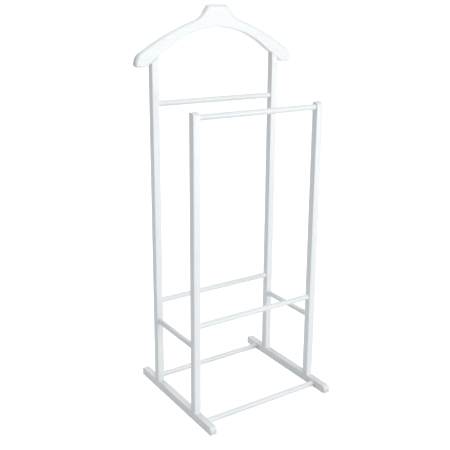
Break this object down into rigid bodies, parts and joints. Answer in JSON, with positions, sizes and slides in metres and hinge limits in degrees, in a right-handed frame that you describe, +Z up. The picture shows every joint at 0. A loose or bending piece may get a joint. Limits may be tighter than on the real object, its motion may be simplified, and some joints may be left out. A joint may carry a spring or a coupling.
{
  "type": "valet stand",
  "caption": "Free-standing wooden clothes valet: shaped shoulder hanger on tall rear posts, trouser bar on shorter front posts, round rungs and two base runners.",
  "frame": {"origin": "on the floor, under the middle of the stand", "axes": "+Z up, +X to the stand's right seen from the front, +Y from the trouser bar towards the hanger"},
  "size_m": [0.486, 0.375, 1.0555],
  "materials": {
    "lacquered_wood": "satin white lacquer, sprayed over fine-grained hardwood",
    "screw_steel": "zinc-plated, satin",
    "bare_beech": "bare beech",
    "pad_felt": "pressed felt"
  },
  "bodies": {
    "root": {"left_runner": "lacquered_wood", "right_runner": "lacquered_wood", "front_left_post": "lacquered_wood", "front_right_post": "lacquered_wood", "rear_left_post": "lacquered_wood", "rear_right_post": "lacquered_wood", "shoulder_hanger": "lacquered_wood", "upper_rear_rung": "lacquered_wood", "trouser_bar": "lacquered_wood", "rear_middle_rung": "lacquered_wood", "front_middle_rung": "lacquered_wood", "rear_bottom_rung": "lacquered_wood", "front_bottom_rung": "lacquered_wood", "left_side_rung": "lacquered_wood", "right_side_rung": "lacquered_wood", "runner_screws": "screw_steel", "hanger_screws": "screw_steel", "runner_dowels": "bare_beech", "front_left_pad": "pad_felt", "front_right_pad": "pad_felt", "rear_left_pad": "pad_felt", "rear_right_pad": "pad_felt"}
  },
  "joints": []
}
